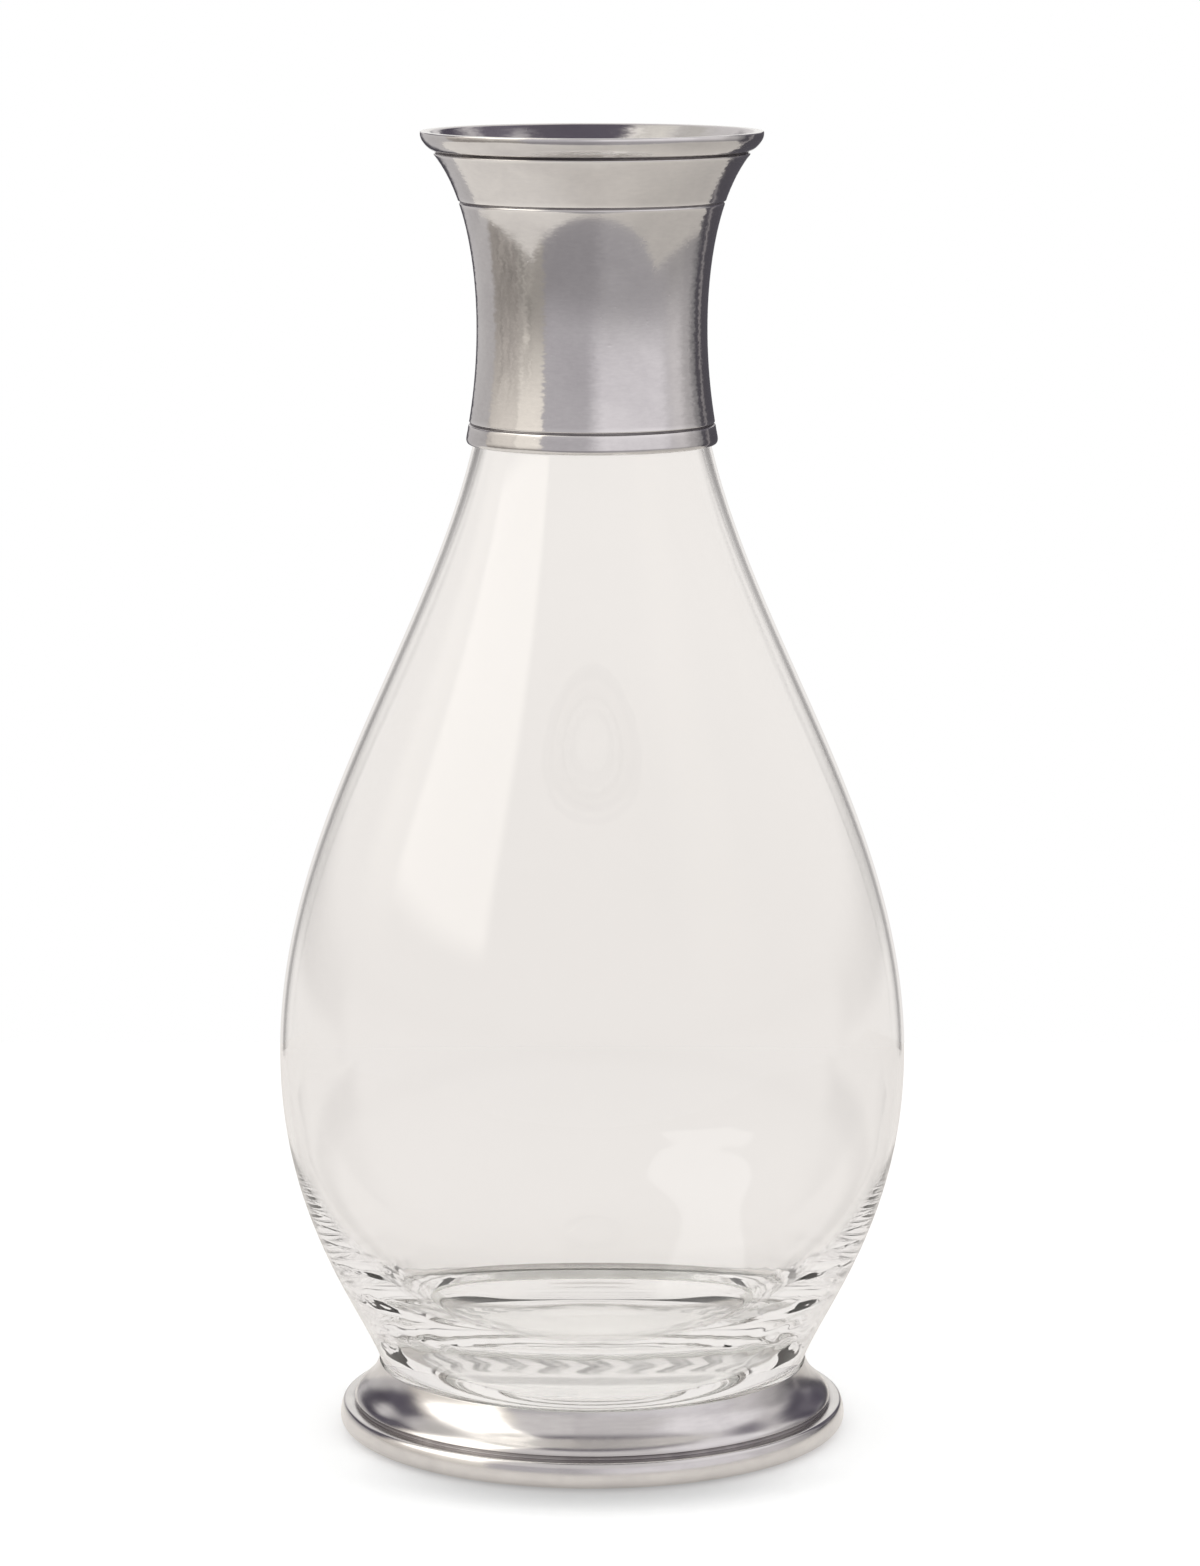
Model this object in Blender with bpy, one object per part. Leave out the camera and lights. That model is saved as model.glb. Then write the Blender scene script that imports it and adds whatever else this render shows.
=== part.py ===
# Carafe: a blown glass body with a heavy base, a pewter collar cemented over its neck and a
# pewter ring foot cemented under it. Every piece is turned about the Z axis.
# Metres, +Z up, origin on the table under the axis.

import math

import bmesh
import bpy
from mathutils import Vector

MM = 0.001

# Facets round the axis, and steps along the curved stretches of the outlines
SEGMENTS = 40
SHOULDER_STEPS = 13
HEEL_STEPS = 9
FLOOR_STEPS = 9
FLARE_STEPS = 10
BARREL_STEPS = 5
DISH_STEPS = 8
ROUND_STEPS = 4
EDGE_STEPS = 3
NECK_STEPS = 4
SHARP_ANGLE = 35

# Fits between touching pieces
GAP = 0.3 * MM
CEMENT = 0.4 * MM

# Foot, heights stacked up from the table
FOOT_ROUND_HEIGHT = 2.5 * MM
FOOT_SHOULDER_RISE = 3.0 * MM
FOOT_GROOVE_WIDTH = 0.8 * MM
FOOT_GROOVE_DEPTH = 0.6 * MM
DISH_RISE = 7.3 * MM
DISH_SPREAD = 4.95 * MM
DISH_TOP_PULL = 5.3 * MM
DISH_TOP_LEAN = 1.6 * MM
DISH_BEAD_PULL = 3.0 * MM
FOOT_ROUND_SPREAD = 2.7 * MM
FOOT_SHOULDER_ROUND = 1.0 * MM
FOOT_UNDERCUT = 4.1 * MM
FOOT_CONTACT_WIDTH = 4.5 * MM
FOOT_RECESS = 2.4 * MM
FLANGE_THICKNESS = 2.6 * MM
FLANGE_REACH = 2.0 * MM
FOOT_BOND_RISE = 5.0 * MM

# Glass body
SEAT_RADIUS = 40.2 * MM
SEAT_LENGTH = 3.8 * MM
SEAT_PULL = 10.2 * MM
UNDERSIDE_ROUND = 1.0 * MM
BELLY_RADIUS = 60.0 * MM
BELLY_HEIGHT = 73.8 * MM
BELLY_PULL_DOWN = 36.4 * MM
BELLY_PULL_UP = 52.4 * MM
NECK_RADIUS = 19.8 * MM
NECK_PULL = 47.6 * MM
NECK_STRAIGHT = 17.8 * MM
NECK_WALL = 1.6 * MM
BELLY_WALL = 1.0 * MM
GLASS_RIM_ROUND = 0.6 * MM
BASE_THICKNESS = 6.0 * MM
FLOOR_RADIUS = 9.0 * MM
FLOOR_PULL = 20.0 * MM
INSIDE_HEEL_RISE = 45.0 * MM
INSIDE_HEEL_PULL = 28.0 * MM

# Collar, heights stacked up from its lower edge
COLLAR_BOTTOM = 191.2 * MM
COLLAR_WALL = 1.0 * MM
COLLAR_EDGE = 1.25 * MM
COLLAR_EDGE_ROUND = 0.9 * MM
BOND_SETBACK = 11.0 * MM
WAIST_RISE = 22.0 * MM
FLARE_RISE = 32.7 * MM
FLARE_SPREAD = 7.95 * MM
FLARE_WAIST_PULL = 5.5 * MM
FLARE_TOP_PULL = 9.4 * MM
FLARE_TOP_LEAN = 7.6 * MM
LIP_GROOVE_WIDTH = 0.4 * MM
LIP_GROOVE_DEPTH = 0.6 * MM
LIP_HEIGHT = 3.7 * MM
LIP_OVERHANG = 2.55 * MM
LIP_CREST_ROUND = 0.5 * MM
LIP_THICKNESS = 1.5 * MM
MOUTH_THROAT = 1.6 * MM
LINE_WIDTH = 0.6 * MM
LINE_DEPTH = 0.35 * MM
LOWER_LINE_RISE = 3.9 * MM
UPPER_LINE_DROP = 9.2 * MM

# Finishes: colour, roughness, metallic value and transmission
GLASS_FINISH = ((0.96, 0.96, 0.95, 1.0), 0.02, 0.0, 1.0)
PEWTER_FINISH = ((0.56, 0.54, 0.51, 1.0), 0.32, 1.0, 0.0)
CEMENT_FINISH = ((0.72, 0.69, 0.63, 1.0), 0.7, 0.0, 0.0)

# Heights and radii that follow from the sizes above
flange_top = FOOT_RECESS + FLANGE_THICKNESS
flange_hole = SEAT_RADIUS - FLANGE_REACH
underside_z = flange_top + GAP + CEMENT + GAP
seat_top = underside_z + SEAT_LENGTH
floor_z = underside_z + BASE_THICKNESS
ledge_z = FOOT_ROUND_HEIGHT + FOOT_SHOULDER_RISE
bead_z = ledge_z + FOOT_GROOVE_WIDTH
dish_top = bead_z + DISH_RISE
waist_z = COLLAR_BOTTOM + WAIST_RISE
glass_top = waist_z + NECK_STRAIGHT
shoulder_z = glass_top + GAP + CEMENT + GAP
flare_top = waist_z + FLARE_RISE
lip_bottom = flare_top + LIP_GROOVE_WIDTH
rim_z = lip_bottom + LIP_HEIGHT
bore_radius = NECK_RADIUS - NECK_WALL
waist_radius = NECK_RADIUS + GAP + CEMENT + GAP + COLLAR_WALL
flare_radius = waist_radius + FLARE_SPREAD
lip_radius = flare_radius + LIP_OVERHANG


def point(radius, height):
    return Vector((radius, height))


def bezier(start, pull_start, pull_end, end, steps):
    points = []
    for i in range(steps + 1):
        t = i / steps
        s = 1.0 - t
        points.append(
            start * s**3 + pull_start * (3 * s * s * t) + pull_end * (3 * s * t * t) + end * t**3
        )
    return points


def bend(start, corner, end, steps):
    # Leaves the start towards a corner and reaches the end from it
    return bezier(start, start.lerp(corner, 2 / 3), end.lerp(corner, 2 / 3), end, steps)


def arc(centre, half_width, half_height, start_deg, end_deg, steps):
    points = []
    for i in range(steps + 1):
        angle = math.radians(start_deg + (end_deg - start_deg) * i / steps)
        points.append(centre + Vector((half_width * math.cos(angle), half_height * math.sin(angle))))
    return points


def glass_shoulder(steps):
    # From the narrow neck down to the belly
    neck = point(NECK_RADIUS, waist_z)
    belly = point(BELLY_RADIUS, BELLY_HEIGHT)
    return bezier(neck, neck - point(0, NECK_PULL), belly + point(0, BELLY_PULL_UP), belly, steps)


def glass_heel(steps):
    # From the belly down to the upright stretch that stands in the foot
    belly = point(BELLY_RADIUS, BELLY_HEIGHT)
    seat = point(SEAT_RADIUS, seat_top)
    return bezier(belly, belly - point(0, BELLY_PULL_DOWN), seat + point(0, SEAT_PULL), seat, steps)


def radius_at(outline, height):
    # Radius of an outline that runs from top to bottom
    for upper, lower in zip(outline, outline[1:]):
        if upper.y >= height >= lower.y and upper.y > lower.y:
            return upper.x + (lower.x - upper.x) * (upper.y - height) / (upper.y - lower.y)
    return outline[0].x if height > outline[0].y else outline[-1].x


glass_outline = glass_shoulder(SHOULDER_STEPS) + glass_heel(HEEL_STEPS)[1:]


def glass_radius(height):
    return radius_at(glass_outline, height)


def glass_wall(height):
    # The wall thickens evenly from the belly up to the neck
    share = (height - BELLY_HEIGHT) / (waist_z - BELLY_HEIGHT)
    return BELLY_WALL + (NECK_WALL - BELLY_WALL) * min(max(share, 0.0), 1.0)


def glass_inner_side():
    # The outer side moved in by the wall, from top to bottom
    moved = []
    for i, here in enumerate(glass_outline):
        along = glass_outline[min(i + 1, len(glass_outline) - 1)] - glass_outline[max(i - 1, 0)]
        across = Vector((along.y, -along.x)).normalized()
        moved.append(here + across * glass_wall(here.y))
    return moved


def turned_line(outline, height, width, depth):
    # Cuts a fine V line into an outline that runs from top to bottom
    above = [p for p in outline if p.y > height + width]
    below = [p for p in outline if p.y < height - width]
    cut = [
        point(radius_at(outline, height + width / 2), height + width / 2),
        point(radius_at(outline, height) - depth, height),
        point(radius_at(outline, height - width / 2), height - width / 2),
    ]
    return above + cut + below


def glass_section():
    # Under the heel the inside leaves the thin wall for a deep bowl in the heavy base
    inner_side = glass_inner_side()
    heel_z = floor_z + INSIDE_HEEL_RISE
    inside = [p for p in inner_side if p.y > heel_z]
    heel = point(radius_at(inner_side, heel_z), heel_z)
    slope = (heel - inside[-1]).normalized()
    floor_edge = point(FLOOR_RADIUS, floor_z)
    floor_curve = bezier(
        heel, heel + slope * INSIDE_HEEL_PULL, floor_edge + point(FLOOR_PULL, 0), floor_edge, FLOOR_STEPS
    )
    rim_in = point(bore_radius + GLASS_RIM_ROUND, glass_top - GLASS_RIM_ROUND)
    rim_out = point(NECK_RADIUS - GLASS_RIM_ROUND, glass_top - GLASS_RIM_ROUND)
    rim = arc(rim_in, GLASS_RIM_ROUND, GLASS_RIM_ROUND, 180, 90, EDGE_STEPS)
    rim += arc(rim_out, GLASS_RIM_ROUND, GLASS_RIM_ROUND, 90, 0, EDGE_STEPS)
    edge = point(SEAT_RADIUS - UNDERSIDE_ROUND, underside_z + UNDERSIDE_ROUND)
    under = arc(edge, UNDERSIDE_ROUND, UNDERSIDE_ROUND, 0, -90, EDGE_STEPS) + [point(0, underside_z)]
    return [point(0, floor_z)] + floor_curve[::-1] + inside[::-1] + rim + glass_outline + under


def collar_outline():
    # Outer side, from the crest of the lip down to the lower edge
    crest = point(lip_radius - LIP_CREST_ROUND, rim_z - LIP_CREST_ROUND)
    outline = arc(crest, LIP_CREST_ROUND, LIP_CREST_ROUND, 90, 0, EDGE_STEPS)
    lip_centre = point(flare_radius, crest.y)
    lip_drop = crest.y - lip_bottom
    outline += arc(lip_centre, LIP_OVERHANG, lip_drop, 0, -90, ROUND_STEPS)[1:]
    outline.append(point(flare_radius - LIP_GROOVE_DEPTH, lip_bottom))
    outline.append(point(flare_radius - LIP_GROOVE_DEPTH, flare_top))
    waist = point(waist_radius, waist_z)
    top = point(flare_radius, flare_top)
    flare = bezier(
        waist,
        waist + point(0, FLARE_WAIST_PULL),
        top - point(FLARE_TOP_LEAN, FLARE_TOP_PULL),
        top,
        FLARE_STEPS,
    )[::-1]
    edge_radius = glass_radius(COLLAR_BOTTOM) + GAP + COLLAR_EDGE
    edge = point(edge_radius, COLLAR_BOTTOM)
    middle = point(waist_radius, (waist_z + COLLAR_BOTTOM) / 2)
    barrel = bend(waist, middle, edge, BARREL_STEPS)[1:-1]
    side = flare + barrel
    edge_centre = point(edge_radius - COLLAR_EDGE_ROUND, COLLAR_BOTTOM + COLLAR_EDGE_ROUND)
    side += arc(edge_centre, COLLAR_EDGE_ROUND, COLLAR_EDGE_ROUND, 0, -90, EDGE_STEPS)
    side = turned_line(side, flare_top - UPPER_LINE_DROP, LINE_WIDTH, LINE_DEPTH)
    side = turned_line(side, COLLAR_BOTTOM + LOWER_LINE_RISE, LINE_WIDTH, LINE_DEPTH)
    return outline + side


def along_neck(bottom, top, clear):
    # The glass neck's outer side with a clearance, from one height up to another
    heights = [bottom + (top - bottom) * i / NECK_STEPS for i in range(NECK_STEPS + 1)]
    return [point(glass_radius(z) + clear, z) for z in heights]


def collar_section():
    # Up the inner side: close to the glass, round the cement, over the rim and out to the mouth
    bond_bottom = COLLAR_BOTTOM + BOND_SETBACK
    inside = along_neck(COLLAR_BOTTOM, bond_bottom, GAP)
    pocket = GAP + CEMENT + GAP
    inside += along_neck(bond_bottom, waist_z, pocket)
    inside.append(point(NECK_RADIUS + pocket, shoulder_z))
    inside.append(point(bore_radius, shoulder_z))
    inside.append(point(bore_radius, shoulder_z + MOUTH_THROAT))
    mouth_radius = lip_radius - LIP_THICKNESS
    inside.append(point(mouth_radius, rim_z - LIP_CREST_ROUND))
    inside.append(point(mouth_radius + LIP_CREST_ROUND, rim_z))
    return inside + collar_outline()


def collar_cement_section():
    bottom = COLLAR_BOTTOM + BOND_SETBACK + GAP
    inside = along_neck(bottom, waist_z, GAP)
    inside.append(point(NECK_RADIUS + GAP, glass_top + GAP))
    ring = [
        point(bore_radius + GAP, glass_top + GAP),
        point(bore_radius + GAP, glass_top + GAP + CEMENT),
        point(NECK_RADIUS + GAP + CEMENT, glass_top + GAP + CEMENT),
    ]
    outside = along_neck(bottom, waist_z, GAP + CEMENT)
    return inside + ring + outside[::-1]


def foot_section():
    cup_radius = glass_radius(dish_top) + GAP
    bead_radius = cup_radius + DISH_SPREAD
    round_radius = bead_radius + FOOT_ROUND_SPREAD
    top = point(cup_radius, dish_top)
    bead = point(bead_radius, bead_z)
    outline = bezier(
        top, top + point(DISH_TOP_LEAN, -DISH_TOP_PULL), bead + point(0, DISH_BEAD_PULL), bead, DISH_STEPS
    )
    outline.append(point(bead_radius - FOOT_GROOVE_DEPTH, bead_z - FOOT_GROOVE_WIDTH / 4))
    outline.append(point(bead_radius - FOOT_GROOVE_DEPTH, ledge_z))
    shoulder = point(round_radius - FOOT_SHOULDER_ROUND, FOOT_ROUND_HEIGHT)
    outline += arc(shoulder, FOOT_SHOULDER_ROUND, FOOT_SHOULDER_RISE, 90, 0, ROUND_STEPS)
    undercut = point(round_radius - FOOT_UNDERCUT, FOOT_ROUND_HEIGHT)
    outline += arc(undercut, FOOT_UNDERCUT, FOOT_ROUND_HEIGHT, 0, -90, ROUND_STEPS)[1:]
    contact_in = undercut.x - FOOT_CONTACT_WIDTH
    inside = [
        point(contact_in, 0),
        point(contact_in, FOOT_RECESS),
        point(flange_hole, FOOT_RECESS),
        point(flange_hole, flange_top),
        point(cup_radius, flange_top),
    ]
    return inside + outline


def foot_cement_section():
    cup_radius = glass_radius(dish_top) + GAP
    bond_bottom = flange_top + GAP
    bond_top = flange_top + FOOT_BOND_RISE
    inner = flange_hole + GAP
    return [
        point(inner, bond_bottom),
        point(inner, bond_bottom + CEMENT),
        point(SEAT_RADIUS + GAP, bond_bottom + CEMENT),
        point(glass_radius(bond_top) + GAP, bond_top),
        point(cup_radius - GAP, bond_top),
        point(cup_radius - GAP, bond_bottom),
    ]


def make_material(name, finish):
    colour, roughness, metallic, transmission = finish
    material = bpy.data.materials.new(name)
    material.use_nodes = True
    shader = material.node_tree.nodes["Principled BSDF"]
    shader.inputs["Base Color"].default_value = colour
    shader.inputs["Roughness"].default_value = roughness
    shader.inputs["Metallic"].default_value = metallic
    shader.inputs["Transmission Weight"].default_value = transmission
    return material


def turn(name, section, base_z, finish, parent):
    # Spins a section once round the axis. A section that starts on the axis is left open there,
    # any other is closed into a ring.
    mesh = bpy.data.meshes.new(name)
    bm = bmesh.new()
    verts = [bm.verts.new((p.x, 0.0, p.y - base_z)) for p in section]
    pairs = list(zip(verts, verts[1:]))
    if section[0].x > 0:
        pairs.append((verts[-1], verts[0]))
    edges = [bm.edges.new(pair) for pair in pairs]
    bmesh.ops.spin(
        bm,
        geom=verts + edges,
        cent=(0, 0, 0),
        axis=(0, 0, 1),
        angle=2 * math.pi,
        steps=SEGMENTS,
        use_merge=True,
    )
    bmesh.ops.remove_doubles(bm, verts=bm.verts, dist=0.001 * MM)
    bmesh.ops.recalc_face_normals(bm, faces=bm.faces)
    bm.to_mesh(mesh)
    bm.free()
    mesh.shade_smooth()
    mesh.set_sharp_from_angle(angle=math.radians(SHARP_ANGLE))
    mesh.materials.append(make_material(name + "_finish", finish))
    piece = bpy.data.objects.new(name, mesh)
    piece.location = (0.0, 0.0, base_z)
    piece.parent = parent
    bpy.context.scene.collection.objects.link(piece)
    return piece


def build():
    for old in list(bpy.data.objects):
        bpy.data.objects.remove(old, do_unlink=True)
    carafe = bpy.data.objects.new("carafe", None)
    bpy.context.scene.collection.objects.link(carafe)
    turn("glass_body", glass_section(), underside_z, GLASS_FINISH, carafe)
    turn("collar", collar_section(), COLLAR_BOTTOM, PEWTER_FINISH, carafe)
    turn("collar_cement", collar_cement_section(), COLLAR_BOTTOM, CEMENT_FINISH, carafe)
    turn("foot", foot_section(), 0.0, PEWTER_FINISH, carafe)
    turn("foot_cement", foot_cement_section(), flange_top, CEMENT_FINISH, carafe)


build()
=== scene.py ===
import math

import bpy
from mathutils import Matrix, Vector


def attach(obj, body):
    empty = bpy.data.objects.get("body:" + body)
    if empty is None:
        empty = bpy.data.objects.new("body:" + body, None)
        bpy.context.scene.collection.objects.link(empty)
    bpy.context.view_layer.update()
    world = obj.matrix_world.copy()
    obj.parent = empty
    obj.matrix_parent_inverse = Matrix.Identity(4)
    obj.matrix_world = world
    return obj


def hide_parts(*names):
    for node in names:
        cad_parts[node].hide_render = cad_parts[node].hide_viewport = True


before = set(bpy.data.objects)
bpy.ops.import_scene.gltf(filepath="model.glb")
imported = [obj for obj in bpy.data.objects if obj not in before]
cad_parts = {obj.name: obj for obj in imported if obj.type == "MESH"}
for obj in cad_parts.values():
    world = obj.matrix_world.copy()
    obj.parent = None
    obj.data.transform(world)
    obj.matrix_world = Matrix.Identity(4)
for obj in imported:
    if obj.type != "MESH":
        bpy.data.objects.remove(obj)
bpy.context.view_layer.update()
mm = 0.001
print("frame loaded:", sorted(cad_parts))


# small helpers for node trees; most of a noise lies inside noiseRange

noiseRange = (0.3, 0.7)


def addNode(tree, kind, inputs=None, **settings):
    node = tree.nodes.new(kind)
    for name, value in settings.items():
        setattr(node, name, value)
    for key, value in (inputs or {}).items():
        feed(tree, value, node.inputs[key])
    return node


def feed(tree, value, socket):
    if isinstance(value, bpy.types.NodeSocket):
        tree.links.new(value, socket)
    else:
        socket.default_value = value


def mathOf(tree, operation, *values):
    node = addNode(tree, "ShaderNodeMath", operation=operation)
    for socket, value in zip(node.inputs, values):
        feed(tree, value, socket)
    return node.outputs[0]


def vectorOf(tree, operation, first, second=None, scale=None):
    node = addNode(tree, "ShaderNodeVectorMath", operation=operation)
    feed(tree, first, node.inputs[0])
    if second is not None:
        feed(tree, second, node.inputs[1])
    if scale is not None:
        feed(tree, scale, node.inputs["Scale"])
    return node.outputs["Value" if operation == "LENGTH" else "Vector"]


def ramp(tree, value, low, high, outLow=0.0, outHigh=1.0):
    node = addNode(tree, "ShaderNodeMapRange", interpolation_type="SMOOTHSTEP")
    for name, item in (("Value", value), ("From Min", low), ("From Max", high),
                       ("To Min", outLow), ("To Max", outHigh)):
        feed(tree, item, node.inputs[name])
    return node.outputs[0]


def mixColour(tree, factor, first, second):
    node = addNode(tree, "ShaderNodeMix", data_type="RGBA", blend_type="MIX")
    feed(tree, factor, node.inputs[0])
    feed(tree, first, node.inputs[6])
    feed(tree, second, node.inputs[7])
    return node.outputs[2]


def partsOf(tree, vector):
    return addNode(tree, "ShaderNodeSeparateXYZ", {0: vector}).outputs


def noiseOf(tree, vector, scale, detail, **others):
    inputs = {"Vector": vector, "Scale": scale, "Detail": detail, **others}
    return addNode(tree, "ShaderNodeTexNoise", inputs).outputs[0]


def newGroup(name, vectors, values, results):
    group = bpy.data.node_groups.new(name, "ShaderNodeTree")
    for label in vectors:
        group.interface.new_socket(label, in_out="INPUT", socket_type="NodeSocketVector")
    for label in values:
        group.interface.new_socket(label, in_out="INPUT", socket_type="NodeSocketFloat")
    for label in results:
        group.interface.new_socket(label, in_out="OUTPUT", socket_type="NodeSocketFloat")
    return group, group.nodes.new("NodeGroupInput"), group.nodes.new("NodeGroupOutput")


def newMaterial(name):
    material = bpy.data.materials.new(name)
    material.use_nodes = True
    return material, material.node_tree, material.node_tree.nodes["Principled BSDF"]


# outlines in millimetres, as points at (radius, height)

lineFloor = 0.4
cornerShare = 0.45
cornerPull = 0.6


def at(radius, height):
    return Vector((radius, height))


def bezier(start, pullStart, pullEnd, end, steps):
    points = []
    for i in range(steps + 1):
        t = i / steps
        s = 1 - t
        points.append(start * s**3 + pullStart * (3 * s * s * t) + pullEnd * (3 * s * t * t) + end * t**3)
    return points


def arc(centre, halfWidth, halfHeight, startDeg, endDeg, steps):
    points = []
    for i in range(steps + 1):
        a = math.radians(startDeg + (endDeg - startDeg) * i / steps)
        points.append(centre + at(halfWidth * math.cos(a), halfHeight * math.sin(a)))
    return points


def radiusAt(outline, height):
    # an outline that runs from top to bottom
    for upper, lower in zip(outline, outline[1:]):
        if upper.y >= height >= lower.y and upper.y > lower.y:
            return upper.x + (lower.x - upper.x) * (upper.y - height) / (upper.y - lower.y)
    return outline[0].x if height > outline[0].y else outline[-1].x


def cutLine(outline, height, width, depth):
    # a turned line: the outline is opened and goes in to a narrow bottom
    top = at(radiusAt(outline, height + width / 2), height + width / 2)
    low = at(radiusAt(outline, height - width / 2), height - width / 2)
    inward = at(low.y - top.y, top.x - low.x).normalized() * depth
    bottom = [top.lerp(low, lineFloor) + inward, top.lerp(low, 1 - lineFloor) + inward]
    above = [p for p in outline if p.y > top.y + width / 2]
    below = [p for p in outline if p.y < low.y - width / 2]
    return above, [top] + bottom + [low], below


def soften(points, corners, steps=5):
    # rounds the named corners of a closed outline; corners gives the reach of each by index
    result = []
    for i, here in enumerate(points):
        if i not in corners:
            result.append(here)
            continue
        before = points[i - 1] - here
        after = points[(i + 1) % len(points)] - here
        reach = min(corners[i], before.length * cornerShare, after.length * cornerShare)
        start = here + before.normalized() * reach
        end = here + after.normalized() * reach
        result += bezier(start, start.lerp(here, cornerPull), end.lerp(here, cornerPull), end, steps)
    return result


def refine(points, spacing):
    # no stretch of the outline is longer than the spacing
    result = []
    for here, after in zip(points, points[1:]):
        pieces = max(1, math.ceil((after - here).length / spacing))
        result += [here.lerp(after, k / pieces) for k in range(pieces)]
    return result + [points[-1]]


def nearMask(points, spots, reach):
    # 1 at the spots, falling smoothly to 0 at the reach
    values = []
    for here in points:
        share = max((1 - (here - spot).length / reach for spot in spots), default=0)
        share = min(max(share, 0), 1)
        values.append(share * share * (3 - 2 * share))
    return values


# camera, fitted to the ellipses of the rim, the lines and the foot

cameraSetup = {"x": 1.5, "y": -1063.5, "z": 298.1, "pitch": 9.19, "focalPixels": 5638, "imageHeight": 1566}


def addCamera(setup):
    data = bpy.data.cameras.new("photoCamera")
    data.sensor_width = 36
    data.lens = setup["focalPixels"] / setup["imageHeight"] * data.sensor_width
    data.clip_start = 0.01
    camera = bpy.data.objects.new("photoCamera", data)
    camera.location = Vector((setup["x"], setup["y"], setup["z"])) * mm
    camera.rotation_euler = (math.radians(90 - setup["pitch"]), 0, 0)
    bpy.context.scene.collection.objects.link(camera)
    bpy.context.scene.camera = camera


addCamera(cameraSetup)
print("camera set")


# the lathe: turns a section, given as a chain of points, once round the axis

ribs = {"patchScale": 6.0, "shallowest": 0.3, "frontShare": 0.15, "sideFrom": 0.5, "sideFull": 0.95}
weldReach = 0.002


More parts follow.
